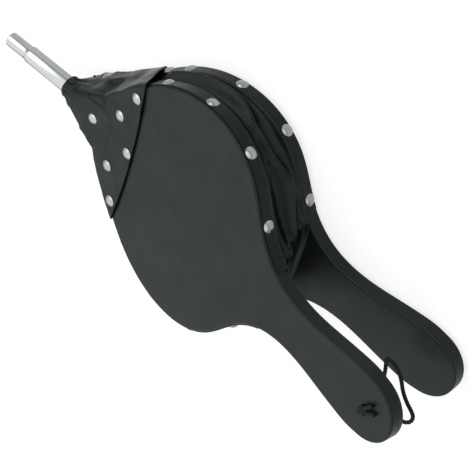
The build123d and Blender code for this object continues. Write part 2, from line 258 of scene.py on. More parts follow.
def nickel(name, colour, roughness):
    """Plated metal, slightly uneven, with handling marks."""
    made = Finish(name, colour, roughness, metallic=1.0)
    tone = made.noise(240, 4)
    dark = tuple(c * 0.84 for c in colour)
    made.colour_from(tone, ((0.32, dark), (0.62, colour)))
    made.rough_from(made.spread(made.noise(900, 3), 0.3, 0.7, roughness * 0.75, roughness * 1.35))
    made.bump(made.noise(350, 3), 0.05, 0.4)
    return made.material


def pipe_metal():
    """Drawn aluminium tube with fine lines along it."""
    made = Finish("pipe_metal", (0.36, 0.375, 0.37), 0.2, metallic=1.0)
    lines = made.noise(9, 6, stretch=(3, 160, 160))
    made.colour_from(lines, ((0.3, (0.30, 0.315, 0.31)), (0.7, (0.42, 0.435, 0.43))))
    made.rough_from(made.spread(lines, 0.3, 0.7, 0.16, 0.26))
    made.bump(lines, 0.02, 0.4)
    return made.material


def bare_wood():
    """Light hardwood with long growth lines."""
    made = Finish("bare_wood", (0.50, 0.33, 0.17), 0.6)
    lines = made.noise(18, 6, stretch=(0.8, 14, 14), distortion=0.4)
    made.colour_from(lines, ((0.3, (0.36, 0.22, 0.10)), (0.5, (0.50, 0.33, 0.17)), (0.7, (0.62, 0.44, 0.25))))
    made.bump(lines, 0.15, 0.4)
    return made.material


def black_cord():
    """Matt laid cotton cord."""
    made = Finish("black_cord", (0.008, 0.008, 0.0085), 0.8, specular=0.2)
    tone = made.noise(1500, 3)
    made.colour_from(tone, ((0.3, (0.004, 0.0042, 0.0045)), (0.7, (0.011, 0.0115, 0.012))))
    made.bump(made.noise(2600, 2), 0.12, 0.7)
    return made.material


FINISHES = {
    "painted_board": painted_board(),
    "black_leather": black_leather(),
    "inner_leather": inner_leather(),
    "nail_nickel": nickel("nail_nickel", (0.31, 0.315, 0.315), 0.2),
    "pipe_metal": pipe_metal(),
    "steel": nickel("steel", (0.55, 0.55, 0.56), 0.34),
    "bare_wood": bare_wood(),
    "black_cord": black_cord(),
}


# ---- The boards' outline ----
def clamped_spline(knots, values, start_slope, end_slope):
    """Cubic spline through the values, as a function that returns values at parameters."""
    step = np.diff(knots)
    slope = np.diff(values) / step
    count = len(knots)
    matrix = np.zeros((count, count))
    right = np.zeros(count)
    matrix[0, :2] = 2 * step[0], step[0]
    right[0] = 6 * (slope[0] - start_slope)
    matrix[-1, -2:] = step[-1], 2 * step[-1]
    right[-1] = 6 * (end_slope - slope[-1])
    for i in range(1, count - 1):
        matrix[i, i - 1 : i + 2] = step[i - 1], 2 * (step[i - 1] + step[i]), step[i]
        right[i] = 6 * (slope[i] - slope[i - 1])
    bend = np.linalg.solve(matrix, right)

    def evaluate(at):
        i = np.clip(np.searchsorted(knots, at, side="right") - 1, 0, count - 2)
        b = (at - knots[i]) / step[i]
        a = 1 - b
        curved = (a**3 - a) * bend[i] + (b**3 - b) * bend[i + 1]
        return a * values[i] + b * values[i + 1] + curved * step[i] ** 2 / 6

    return evaluate


def board_edge():
    """A table of the board's side: length along it, station and half width."""
    stations, widths = np.array(SIDE_POINTS).T
    knots = np.r_[0, np.cumsum(np.hypot(np.diff(stations), np.diff(widths)))]
    start = np.array(FRONT_TANGENT) / np.linalg.norm(FRONT_TANGENT)
    end = np.array(END_TANGENT) / np.linalg.norm(END_TANGENT)
    along = np.linspace(0, knots[-1], 4000)
    return (
        along,
        clamped_spline(knots, stations, start[0], end[0])(along),
        clamped_spline(knots, widths, start[1], end[1])(along),
    )


EDGE_LENGTH, EDGE_S, EDGE_W = board_edge()


def half_width(station):
    return np.interp(station, EDGE_S, EDGE_W)


def edge_outward(station):
    """The edge's outward direction at a station, as parts along the station and the half width."""
    here = np.array([station - 0.5, station + 0.5])
    run = np.array([1.0, np.diff(half_width(here))[0]])
    run /= np.linalg.norm(run)
    return -run[1], run[0]


def lower_point(s, y, z):
    """Points at a station, side offset and height. Any of them may be an array."""
    s, y, z = np.broadcast_arrays(*(np.asarray(v, float) for v in (s, y, z)))
    return np.stack([FRONT_X - s, y, z], -1)


def swung(points):
    """Turns points from the upper board's own frame, with its origin on the hinge, to rest."""
    x, y, z = np.moveaxis(np.asarray(points, float), -1, 0)
    cos, sin = math.cos(REST_OPEN), math.sin(REST_OPEN)
    return np.stack([HINGE_X + x * cos + z * sin, y, HINGE_Z - x * sin + z * cos], -1)


def upper_point(s, y, above):
    """Points on the upper board, above its underside."""
    s, y, above = np.broadcast_arrays(*(np.asarray(v, float) for v in (s, y, above)))
    return swung(np.stack([UPPER_DATUM - s, y, above - BOARD_T], -1))


# ---- Mesh helpers ----
def smoothstep(t):
    t = np.clip(t, 0, 1)
    return t * t * (3 - 2 * t)


def noise_at(points, scale, seed):
    """Smooth noise from about -1 to 1 at points in millimetres."""
    shift = Vector((seed * 17.3, seed * 5.1, seed * 9.7))
    return np.array([noise.noise(Vector(p) * scale + shift) for p in points.reshape(-1, 3)])


def grid_mesh(name, points, closed_rows=False, left_out=None):
    """A mesh from rows x columns of points. left_out is a mask of the faces to leave out."""
    rows, columns = points.shape[:2]
    faces = []
    for i in range(rows if closed_rows else rows - 1):
        for j in range(columns - 1):
            if left_out is None or not left_out[i, j]:
                k = (i + 1) % rows
                faces.append((i * columns + j, k * columns + j, k * columns + j + 1, i * columns + j + 1))
    mesh = bpy.data.meshes.new(name)
    mesh.from_pydata((points.reshape(-1, 3) * MM).tolist(), [], faces)
    return mesh


def clean(mesh):
    """Merges doubles, drops loose points and makes the normals agree."""
    work = bmesh.new()
    work.from_mesh(mesh)
    bmesh.ops.remove_doubles(work, verts=work.verts, dist=0.005 * MM)
    loose = [v for v in work.verts if not v.link_faces]
    bmesh.ops.delete(work, geom=loose, context="VERTS")
    bmesh.ops.recalc_face_normals(work, faces=work.faces)
    work.to_mesh(mesh)
    work.free()


def face_outward(mesh, sample, direction):
    """Turns the faces over if the one nearest to sample points against direction."""
    target = Vector(sample) * MM
    nearest = min(mesh.polygons, key=lambda f: (f.center - target).length)
    if nearest.normal.dot(Vector(direction)) < 0:
        mesh.flip_normals()


def add_piece(name, mesh, slot):
    """A smooth-shaded piece with the finish of a material slot."""
    piece = bpy.data.objects.new(name, mesh)
    bpy.context.scene.collection.objects.link(piece)
    mesh.materials.append(FINISHES[slot])
    mesh.polygons.foreach_set("use_smooth", np.ones(len(mesh.polygons), bool))
    return piece


def apply_modifiers(piece):
    graph = bpy.context.evaluated_depsgraph_get()
    made = bpy.data.meshes.new_from_object(piece.evaluated_get(graph))
    piece.modifiers.clear()
    piece.data = made


def thicken(piece, thickness):
    """Gives a sheet its thickness behind the visible side, with softened cut edges."""
    solid = piece.modifiers.new("thickness", "SOLIDIFY")
    solid.thickness = thickness * MM
    solid.offset = -1
    solid.use_quality_normals = True
    bevel = piece.modifiers.new("cut_edge", "BEVEL")
    bevel.width = 0.3 * MM
    bevel.segments = 2
    bevel.limit_method = "ANGLE"
    bevel.angle_limit = math.radians(50)
    apply_modifiers(piece)
    piece.data.polygons.foreach_set("use_smooth", np.ones(len(piece.data.polygons), bool))


def bend_at_hinge(piece):
    """Bakes the piece's transform into its mesh, as it stands at rest; nothing is blended between the boards.
    """
    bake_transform(piece)


# ---- Hanging cord ----
CORD_R = 1.5
CORD_HOLE_S = 304.6
CORD_EXIT = (302.95, 0.0, -11.5)
# Station, offset to the -Y side and depth below the upper board, as in the CAD
CORD_ROUTE = (
    CORD_EXIT,
    (302.95, 0.0, -4.0),
    (302.5, 0.3, 3.5),
    (298.0, 1.0, 10.5),
    (291.5, 2.5, 17.5),
    (285.5, 3.5, 24.5),
    (279.0, 3.5, 31.0),
    (287.0, -2.2, 36.5),
    (295.5, -6.0, 34.5),
    (303.2, -6.0, 28.5),
    (312.0, -5.2, 23.4),
    (320.5, -3.5, 19.5),
    (326.5, -1.5, 15.5),
    (329.0, -1.0, 10.0),
    (326.0, -2.0, 6.0),
    (319.5, -1.5, 4.6),
    (312.5, -0.5, 4.8),
    (307.6, 0.0, 3.0),
    (306.3, 0.0, -1.5),
    (306.2, 0.0, -6.5),
    (306.25, 0.1, -11.5),
)


def smooth_line(name, points, per_point=10, cyclic=False):
    """Points in millimetres read from a NURBS curve with the given control points."""
    curve = bpy.data.curves.new(name, "CURVE")
    curve.dimensions = "3D"
    spline = curve.splines.new("NURBS")
    spline.points.add(len(points) - 1)
    for knot, point in zip(spline.points, points):
        knot.co = (*(np.asarray(point) * MM), 1)
    spline.order_u = 3
    spline.use_endpoint_u = not cyclic
    spline.use_cyclic_u = cyclic
    spline.resolution_u = per_point
    carrier = bpy.data.objects.new(name, curve)
    line = bpy.data.meshes.new_from_object(carrier)
    read = np.array([v.co for v in line.vertices]) / MM
    bpy.data.objects.remove(carrier)
    bpy.data.meshes.remove(line)
    return read


def carried_frames(line, closed=False):
    """Two directions square to the line at each point, carried along it without twisting."""
    run = np.gradient(line, axis=0)
    if closed:
        run = np.roll(line, -1, 0) - np.roll(line, 1, 0)
    run /= np.linalg.norm(run, axis=1)[:, None]
    side = np.cross(run[0], (0.0, 0.0, 1.0) if abs(run[0][2]) < 0.9 else (1.0, 0.0, 0.0))
    sides = []
    for direction in run:
        side = side - direction * side.dot(direction)
        side /= np.linalg.norm(side)
        sides.append(side)
    sides = np.array(sides)
    return sides, np.cross(run, sides)


def laid_rope(name, line, radius, strands=3, pitch=9.0, closed=False, ends=1.0):
    """A closed mesh of laid strands round a line. ends is how much the two ends swell or shrink."""
    first, second = carried_frames(line, closed)
    length = np.r_[0, np.cumsum(np.linalg.norm(np.diff(line, axis=0), axis=1))]
    around = np.linspace(0, 2 * math.pi, 24, endpoint=False)
    lobes = np.abs(np.cos(strands / 2 * (around[None] - length[:, None] * 2 * math.pi / pitch)))
    swell = np.ones(len(line))
    if not closed:
        near_end = np.minimum(length, length[-1] - length)
        swell += (ends - 1) * np.exp(-near_end / 1.5)
    reach = radius * (0.80 + 0.22 * lobes**0.6) * swell[:, None]
    out = np.cos(around)[None, :, None] * first[:, None] + np.sin(around)[None, :, None] * second[:, None]
    rings = line[:, None] + out * reach[..., None]
    work = bmesh.new()
    rows = [[work.verts.new(p * MM) for p in ring] for ring in rings]
    pairs = zip(rows, rows[1:] + rows[:1]) if closed else zip(rows, rows[1:])
    for here, there in pairs:
        for k in range(len(around)):
            j = (k + 1) % len(around)
            work.faces.new((here[k], here[j], there[j], there[k]))
    if not closed:
        for ring, point in ((rows[0], line[0]), (rows[-1], line[-1])):
            tip = work.verts.new(point * MM)
            for k in range(len(around)):
                work.faces.new((ring[k], ring[(k + 1) % len(around)], tip))
    bmesh.ops.recalc_face_normals(work, faces=work.faces)
    mesh = bpy.data.meshes.new(name)
    work.to_mesh(mesh)
    work.free()
    return mesh


def add_cord():
    """One cord, down through the hole, round its loop and up again."""
    route = [upper_point(s, -y, -depth) for s, y, depth in CORD_ROUTE]
    line = smooth_line("cord_line", route)
    cord = add_piece("hanging_cord_laid", laid_rope("hanging_cord_laid", line, CORD_R), "black_cord")
    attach(cord, "upper")
    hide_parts("hanging_cord")


KNOT_R = 2.95
KNOT_LIFT = 3.1
KNOT_TURNS = 56
TAIL_ANGLES = (-152.0, -122.0)


def add_knot():
    """An overhand knot of both strands over the hole, with the two cut ends lying beside it."""
    centre = np.array([UPPER_DATUM - CORD_HOLE_S, 0.0, KNOT_LIFT])
    t = np.linspace(0, 2 * math.pi, KNOT_TURNS, endpoint=False)
    loops = np.stack([np.sin(t) + 2 * np.sin(2 * t), np.cos(t) - 2 * np.cos(2 * t), -1.5 * np.sin(3 * t)], -1)
    loops = swung(centre + loops * KNOT_R / 3)
    meshes = [laid_rope("knot", loops, CORD_R, closed=True, pitch=7.0)]
    for turn in TAIL_ANGLES:
        angle = math.radians(turn)
        aim = np.array([math.cos(angle), math.sin(angle), 0.0])
        bow = np.array([-aim[1], aim[0], 0.0]) * math.copysign(0.9, turn + 137)
        ahead = ((1.0, 3.2, 0.0), (4.0, 3.4, 0.4), (7.0, 1.9, 1.0), (10.5, 1.55, 0.6))
        points = [centre * (1, 1, 0) + aim * d + bow * b + np.array([0, 0, z]) for d, z, b in ahead]
        meshes.append(laid_rope("tail", smooth_line("tail_line", swung(points)), CORD_R, ends=1.12))
    work = bmesh.new()
    for mesh in meshes:
        work.from_mesh(mesh)
    joined = bpy.data.meshes.new("cord_knot_tied")
    work.to_mesh(joined)
    work.free()
    knot = add_piece("cord_knot_tied", joined, "black_cord")
    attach(knot, "upper")
    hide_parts("cord_knot")


add_cord()
add_knot()


# ---- Nails and pipe ----
def lathe(profile, segments):
    """A surface of revolution about Z. Its profile runs from the axis or back to its own start."""
    angles = np.linspace(0, 2 * math.pi, segments, endpoint=False)
    rings = np.array([[(r * math.cos(a), r * math.sin(a), z) for r, z in profile] for a in angles])
    return rings


def dome_profile():
    """Half section of a pressed nail head with its rolled rim, and the shank under it."""
    sphere_r = (HEAD_R**2 + HEAD_H**2) / (2 * HEAD_H)
    radii = np.linspace(0, HEAD_R - 0.35, 12)
    dome = [(r, HEAD_H - sphere_r + math.sqrt(sphere_r**2 - r**2)) for r in radii]
    rim = [(HEAD_R - 0.08, 0.30), (HEAD_R, 0.10), (HEAD_R - 0.10, -0.10), (HEAD_R - 0.6, -0.12)]
    shank = [(1.1, 0.1), (0.9, -0.5), (0.9, -8.0), (0.0, -10.0)]
    return dome + rim + shank


def nail_points(origin, outward):
    """The nail's grid of points, its head on the outward side of its origin."""
    axis = Vector(outward).normalized()
    turn = np.array(axis.to_track_quat("Z", "Y").to_matrix())
    return lathe(dome_profile(), 40) @ turn.T + np.asarray(origin)


def add_nails(name, places, body):
    """One piece for a CAD group of nails."""
    work = bmesh.new()
    for origin, outward in places:
        mesh = grid_mesh("nail", nail_points(origin, outward), closed_rows=True)
        work.from_mesh(mesh)
        bpy.data.meshes.remove(mesh)
    bmesh.ops.remove_doubles(work, verts=work.verts, dist=0.002 * MM)
    bmesh.ops.recalc_face_normals(work, faces=work.faces)
    joined = bpy.data.meshes.new(f"{name}_domed")
    work.to_mesh(joined)
    work.free()
    nails = add_piece(f"{name}_domed", joined, "nail_nickel")
    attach(nails, body)
    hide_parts(name)


NAIL_LIFT = LEATHER_T
TOP_LIFT = STRIP_T + LEATHER_T


def edge_place(station, side, lower):
    """Where an edge nail sits, and its outward direction."""
    back, out = edge_outward(station)
    s = station + back * NAIL_LIFT
    y = side * (half_width(station) + out * NAIL_LIFT)
    if lower:
        return lower_point(s, y, LOWER_Z + BOARD_T / 2), (-back, side * out, 0)
    here = upper_point(s, y, BOARD_T / 2)
    ahead = upper_point(s + back, y + side * out, BOARD_T / 2)
    return here, ahead - here


def side_nail_place(side):
    """The nail in the nose's flank, square to the taper."""
    slope = (NOSE_TAPER_HALF - BLOCK_FRONT_HALF) / (NOSE_TAPER_S - BLOCK_FRONT_S)
    half = BLOCK_FRONT_HALF + slope * (SIDE_NAIL_S - BLOCK_FRONT_S)
    outward = np.array([slope, side, 0.0]) / math.hypot(slope, 1)
    return lower_point(SIDE_NAIL_S, side * half, SIDE_NAIL_Z) + outward * NAIL_LIFT, outward


UP = np.array([0.0, 0.0, 1.0])
UPPER_UP = swung([0, 0, 1]) - swung([0, 0, 0])
WRAP_TOP_PLACES = [(upper_point(s, -y, BOARD_T + TOP_LIFT), UPPER_UP) for s, y in WRAP_NAILS]
BLOCK_PLACE = (lower_point(BLOCK_NAIL[0], -BLOCK_NAIL[1], HINGE_Z + TOP_LIFT), UP)
WRAP_LOW_PLACES = [(lower_point(s, -y, LOWER_Z - LEATHER_T), -UP) for s, y in WRAP_NAILS + (BLOCK_NAIL,)]
SIDE_PLACES = [side_nail_place(side) for side in (-1, 1)]
CORNER_PLACES = [edge_place(CORNER_NAIL_S, side, True) for side in (-1, 1)]
WRAP_NAIL_PLACES = WRAP_TOP_PLACES + [BLOCK_PLACE] + WRAP_LOW_PLACES + SIDE_PLACES + CORNER_PLACES


def add_all_nails():
    for name, side in (("right", -1), ("left", 1)):
        for board in ("lower", "upper"):
            places = [edge_place(s, side, board == "lower") for s in EDGE_NAIL_STATIONS]
            add_nails(f"{board}_edge_nails_{name}", places, board)
    add_nails("wrap_nails_upper", WRAP_TOP_PLACES, "upper")
    add_nails("wrap_nails_lower", WRAP_LOW_PLACES, "lower")
    add_nails("block_nail", [BLOCK_PLACE], "lower")
    add_nails("nose_side_nails", SIDE_PLACES, "lower")
    add_nails("wrap_corner_nails", CORNER_PLACES, "lower")


add_all_nails()


def add_pipe():
    """The blow pipe, with a rolled swage towards its tip and a rounded mouth."""
    inner_base = PIPE_BASE_R - PIPE_WALL
    inner_tip = PIPE_TIP_R - PIPE_WALL
    mouth = PIPE_WALL / 2
    base_end = PIPE_SWAGE_S
    outside = [
        (PIPE_ROOT_S, PIPE_BASE_R),
        (base_end + 3.0, PIPE_BASE_R),
        (base_end + 1.2, PIPE_BASE_R + 0.25),
        (base_end - 0.2, PIPE_BASE_R + 0.15),
        (base_end - 1.4, PIPE_BASE_R - 0.55),
        (base_end - 2.6, PIPE_TIP_R + 0.10),
        (base_end - 4.2, PIPE_TIP_R),
        (PIPE_TIP_S + 1.2, PIPE_TIP_R),
    ]
    lip = []
    for angle in np.linspace(0, math.pi, 7):
        lip.append((PIPE_TIP_S + mouth * (1 - math.sin(angle)), PIPE_TIP_R - mouth + mouth * math.cos(angle)))
    inside = [(PIPE_TIP_S + 1.2, inner_tip), (base_end - 4.0, inner_tip), (base_end, inner_base)]
    inside += [(PIPE_ROOT_S, inner_base), (PIPE_ROOT_S, PIPE_BASE_R)]
    rings = lathe([(r, s) for s, r in outside + lip + inside], 96)
    points = lower_point(rings[..., 2], rings[..., 0], PIPE_Z + rings[..., 1])
    mesh = grid_mesh("blow_pipe_turned", points, closed_rows=True)
    clean(mesh)
    pipe = add_piece("blow_pipe_turned", mesh, "pipe_metal")
    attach(pipe, "lower")
    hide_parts("blow_pipe")


add_pipe()


# ---- Gusset ----
GUSSET_STEP = 1.4
SHEAR_FROM_S = 140.0
# Where the leather leaves the edge and where it crosses between the handles, on each board
LOWER_TAIL = (178.0, 184.0)
UPPER_TAIL = (197.0, 202.0)
TAIL_CORNER_Y = 12.0
TURN_COUNT = 12
ACROSS_COUNT = 11
WALL_ROWS = 48
MARGIN_ROWS = 5
CUT_EDGE = 1.8
RIM_TURN = 0.9
LEATHER_OUT = 1.25
UNDER_WRAP_S = 30.0

# How far the leather is drawn in between the boards: station, depth
SAG = (
    (0, 1.0),
    (30, 3.0),
    (45, 5.0),
    (60, 6.0),
    (100, 8.0),
    (140, 11.5),
    (175, 12.0),
    (200, 9.5),
    (212, 7.0),
)

# Folds: the crest as (station, share of the opening, height over the board's edge), half width, fade
FOLDS = (
    (
        (
            (30, 0.40, 3.0),
            (60, 0.42, 3.6),
            (90, 0.38, 3.2),
            (106, 0.36, 0.5),
            (122, 0.40, -5.0),
        ),
        4.2,
        10,
    ),
    (
        (
            (90, 0.33, -3.0),
            (110, 0.40, -3.5),
            (126, 0.43, -4.5),
            (142, 0.42, -5),
            (154, 0.26, -5),
            (168, 0.0, -4),
        ),
        1.8,
        8,
    ),
    (
        (
            (110, 0.25, -6.0),
            (133, 0.52, -6.0),
            (148, 0.40, -6.5),
            (161, 0.12, -5.0),
            (170, 0.0, -4.0),
        ),
        1.5,
        8,
    ),
    (
        (
            (148, 0.55, -7.0),
            (163, 0.68, -4.5),
            (173, 0.62, -4.5),
            (185, 0.60, -4.5),
            (197, 0.62, -5.0),
        ),
        1.9,
        12,
    ),
    (
        (
            (166, 0.0, -3.5),
            (177, 0.10, -4.5),
            (186, 0.24, -6.0),
            (195, 0.34, -7.0),
        ),
        2.1,
        12,
    ),
    (
        (
            (118, 0.86, -4.0),
            (138, 0.78, -5.5),
            (156, 0.84, -5.0),
        ),
        2.2,
        10,
    ),
)


def eased(at, stations, values, width=5.0):
    """Interpolates between points, with the corners rounded off."""
    shifts = np.linspace(-width, width, 7)
    return np.mean([np.interp(at + shift, stations, values) for shift in shifts], axis=0)


def wall_height(station, share, gap):
    """Height of the leather over the board's edge, from the sag and the folds."""
    sag_s, sag_depth = np.array(SAG, float).T
    height = -np.interp(station, sag_s, sag_depth) * np.sin(np.pi * share) ** 0.6
    for crest, width, fade in FOLDS:
        crest_s, crest_share, crest_height = np.array(crest, float).T
        middle = eased(station, crest_s, crest_share)
        ends = smoothstep((station - crest_s[0]) / fade + 0.5)
        ends = ends * smoothstep((crest_s[-1] - station) / fade + 0.5)
        off = (share - middle) * gap / width
        broad = smoothstep((width - 2.2) / 1.5)
        shape = broad * np.exp(-(off**2)) + (1 - broad) * np.exp(-np.sqrt(off**2 + 0.08) + 0.28)
        rise = eased(station, crest_s, crest_height) - height
        height = height + np.maximum(rise, 0) * ends * np.minimum(shape, 1)
    return height


def gusset_path(tail):
    """The leather's run in plan on one board: along the edge, then across between the handles."""
    leave_s, cross_s = tail
    stations = np.interp(np.arange(0, gusset_edge_length(), GUSSET_STEP), EDGE_LENGTH, EDGE_S)
    late = smoothstep((stations - SHEAR_FROM_S) / (LOWER_TAIL[0] - SHEAR_FROM_S))
    stations = stations + (leave_s - LOWER_TAIL[0]) * late
    edge = np.stack([stations, half_width(stations)], -1)
    first = edge[-1]
    corner = np.array([cross_s + 0.5, first[1] - 5.0])
    last = np.array([cross_s, TAIL_CORNER_Y])
    t = np.linspace(0, 1, TURN_COUNT + 1)[1:, None]
    turn = (1 - t) ** 2 * first + 2 * t * (1 - t) * corner + t**2 * last
    across_y = np.linspace(TAIL_CORNER_Y, 0, ACROSS_COUNT + 1)[1:]
    across = np.stack([np.full(ACROSS_COUNT, cross_s), across_y], -1)
    return np.concatenate([edge, turn, across])


def gusset_edge_length():
    return float(np.interp(LOWER_TAIL[0], EDGE_S, EDGE_LENGTH))


def plan_outward(path, side):
    """Outward directions in plan along a path of station and half width."""
    run = np.gradient(path, axis=0)
    run /= np.linalg.norm(run, axis=1)[:, None]
    return np.stack([run[:, 1], side * run[:, 0], 0 * run[:, 0]], -1)


def steadied(outward, reach=10):
    """Evens out the directions along the run, so that the sag does not cross itself at the corners."""
    weights = np.ones(2 * reach + 1) / (2 * reach + 1)
    padded = np.pad(outward, ((reach, reach), (0, 0)), mode="edge")
    return np.stack([np.convolve(column, weights, "valid") for column in padded.T], -1)


def gusset_half(side, shift, seed):
    """One side's points: rows from the lower cut edge to the upper one, columns from nose to tail."""
    low_s, low_y = gusset_path(LOWER_TAIL).T
    high_s, high_y = gusset_path(UPPER_TAIL).T
    low_out = plan_outward(gusset_path(LOWER_TAIL), side)
    high_out = plan_outward(gusset_path(UPPER_TAIL), side)
    low_steady, high_steady = steadied(low_out), steadied(high_out)
    rows = []
    for z in np.linspace(LOWER_Z + CUT_EDGE, INNER_Z - RIM_TURN, MARGIN_ROWS, endpoint=False):
        rows.append(lower_point(low_s, side * low_y, z) + low_out * LEATHER_OUT)
    low_rim = lower_point(low_s, side * low_y, INNER_Z - RIM_TURN)
    high_rim = upper_point(high_s, side * high_y, RIM_TURN)
    gap = np.linalg.norm(high_rim - low_rim, axis=1)
    station = (low_s + high_s) / 2
    under_wrap = smoothstep((station - UNDER_WRAP_S) / 12)
    for share in np.linspace(0, 1, WALL_ROWS):
        here = low_rim * (1 - share) + high_rim * share
        out = low_steady * (1 - share) + high_steady * share
        free = smoothstep(share / 0.09) * smoothstep((1 - share) / 0.09)
        height = wall_height(station + shift, np.full(len(station), share), gap)
        height = height * under_wrap - 2.0 * (1 - under_wrap)
        wrinkle = noise_at(here, 0.045, seed) * 0.8 + noise_at(here, 0.14, seed + 3) * 0.08
        height = LEATHER_OUT + free * (height + wrinkle * np.clip(gap / 22, 0.2, 1))
        rows.append(here + out * height[:, None])
    for above in np.linspace(RIM_TURN, BOARD_T - CUT_EDGE, MARGIN_ROWS + 1)[1:]:
        rows.append(upper_point(high_s, side * high_y, above) + high_out * LEATHER_OUT)
    return np.array(rows)


def add_gusset():
    """The bellows leather: both sides, the tail between the handles and the nailed margins."""
    right = gusset_half(-1, 0.0, 2)
    left = gusset_half(1, 6.0, 7)
    points = np.concatenate([right, left[:, ::-1][:, 1:]], axis=1)
    left_out = np.zeros((points.shape[0] - 1, points.shape[1] - 1), bool)
    tail_from = right.shape[1] - TURN_COUNT - ACROSS_COUNT - 1
    tail = slice(tail_from, points.shape[1] - 1 - tail_from)
    left_out[:MARGIN_ROWS, tail] = True
    left_out[-MARGIN_ROWS:, tail] = True
    mesh = grid_mesh("gusset_leather", points, left_out=left_out)
    clean(mesh)
    face_outward(mesh, points[1, 60], (0, -1, 0))
    gusset = add_piece("gusset_leather", mesh, "black_leather")
    thicken(gusset, 1.1)
    bend_at_hinge(gusset)
    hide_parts("gusset", *(f"{b}_band_{s}" for b in ("lower", "upper") for s in ("left", "right")))


add_gusset()


# ---- Nose wrap ----
WRAP_FRONT_S = -47.0
WRAP_CENTRE_S = 37.4
WRAP_CORNER_S = 32.6
WRAP_LOW_CORNER_S = 22.0
WRAP_COLUMNS = 80
TOP_COUNT = 60
SIDE_COUNT = 26
LIP_R = 8.3
TOP_OUT = 1.8
BACK_OUT = 2.8
SIDE_FLARE = 2.0
LOW_SLACK = 1.6
CLEAR = 1.7
WOOD_ROUND = 1.5


def wrap_loop():
    """The loop's points as (share across, share down, rear edge station, angle on the pipe)."""
    drop = WRAP_CENTRE_S - WRAP_CORNER_S
    low_drop = WRAP_CENTRE_S - WRAP_LOW_CORNER_S
    slant = WRAP_CORNER_S - WRAP_LOW_CORNER_S
    loop = []
    for t in np.arange(TOP_COUNT) / TOP_COUNT:
        across = 2 * t - 1
        loop.append((across, 0, WRAP_CENTRE_S - drop * abs(across) ** 2, 90 - 54 * across))
    for t in np.arange(SIDE_COUNT) / SIDE_COUNT:
        loop.append((1, t, WRAP_CORNER_S - slant * t, 36 - 72 * t))
    for t in np.arange(TOP_COUNT) / TOP_COUNT:
        across = 1 - 2 * t
        loop.append((across, 1, WRAP_CENTRE_S - low_drop * abs(across) ** 2, -36 - 108 * t))
    for t in np.arange(SIDE_COUNT) / SIDE_COUNT:
        loop.append((-1, 1 - t, WRAP_LOW_CORNER_S + slant * t, -144 - 72 * t))
    return loop


def wrap_on_wood(s, across, down):
    """Points of the leather stretched over block and boards."""
    out = TOP_OUT + (BACK_OUT - TOP_OUT) * smoothstep((s - 2) / 16)
    block_to_board = (BLOCK_FRONT_HALF, BLOCK_REAR_HALF, half_width(0))
    top_half = np.interp(s, (BLOCK_FRONT_S, UPPER_DATUM, 0), block_to_board)
    top_half = np.where(s > 0, half_width(s), top_half) + out
    low_half = np.interp(s, (BLOCK_FRONT_S, NOSE_TAPER_S), (BLOCK_FRONT_HALF, NOSE_TAPER_HALF))
    low_half = np.where(s > NOSE_TAPER_S, half_width(s), low_half) + out + LOW_SLACK
    on_block = lower_point(s, across * top_half, HINGE_Z + TOP_OUT)
    on_board = upper_point(s, across * top_half, BOARD_T + TOP_OUT)
    behind = smoothstep((s - HINGE_S + 2) / 4)[:, None]
    top = on_block * (1 - behind) + on_board * behind
    low = lower_point(s, across * low_half, LOWER_Z - LEATHER_T)
    points = top * (1 - down) + low * down
    flare = SIDE_FLARE * math.sin(math.pi * down) * smoothstep((s - 6) / 18)
    points[:, 1] += across * flare
    return points


def bevel_round(s):
    """Radius that stands for the block's bevelled corners, which grow towards the pipe."""
    return np.interp(s, (BLOCK_FRONT_S, -10.0), (8.0, WOOD_ROUND))


def block_half_width(s):
    return np.interp(s, (BLOCK_FRONT_S, UPPER_DATUM), (BLOCK_FRONT_HALF, BLOCK_REAR_HALF))


def over_corners(points):
    """Draws the wrap in round the block's bevelled top corners."""
    points = points.copy()
    s = FRONT_X - points[..., 0]
    corner = bevel_round(s)
    over_side = np.abs(points[..., 1]) - (block_half_width(s) - corner)
    over_top = points[..., 2] - (HINGE_Z - corner)
    reach = np.hypot(over_side, over_top)
    at_corner = (over_side > 0) & (over_top > 0) & (s < UPPER_DATUM)
    excess = np.maximum(reach - corner - TOP_OUT, 0) * at_corner
    points[..., 1] -= np.sign(points[..., 1]) * over_side / reach * excess
    points[..., 2] -= over_top / reach * excess
    return points


def off_section(side, height, half, middle, half_height, corner=WOOD_ROUND):
    """How far to move a point of a cross-section, so that it stays clear of a rounded rectangle."""
    over_side = np.abs(side) - (half - corner)
    over_height = np.abs(height - middle) - (half_height - corner)
    reach = np.hypot(np.maximum(over_side, 0), np.maximum(over_height, 0))
    beyond = reach + np.minimum(np.maximum(over_side, over_height), 0) - corner
    need = np.maximum(CLEAR - beyond, 0)
    inside = reach < 1e-6
    divisor = np.maximum(reach, 1e-6)
    to_side = np.where(inside, over_side > over_height, np.maximum(over_side, 0) / divisor)
    to_height = np.where(inside, over_side <= over_height, np.maximum(over_height, 0) / divisor)
    return np.sign(side) * to_side * need, np.sign(height - middle) * to_height * need


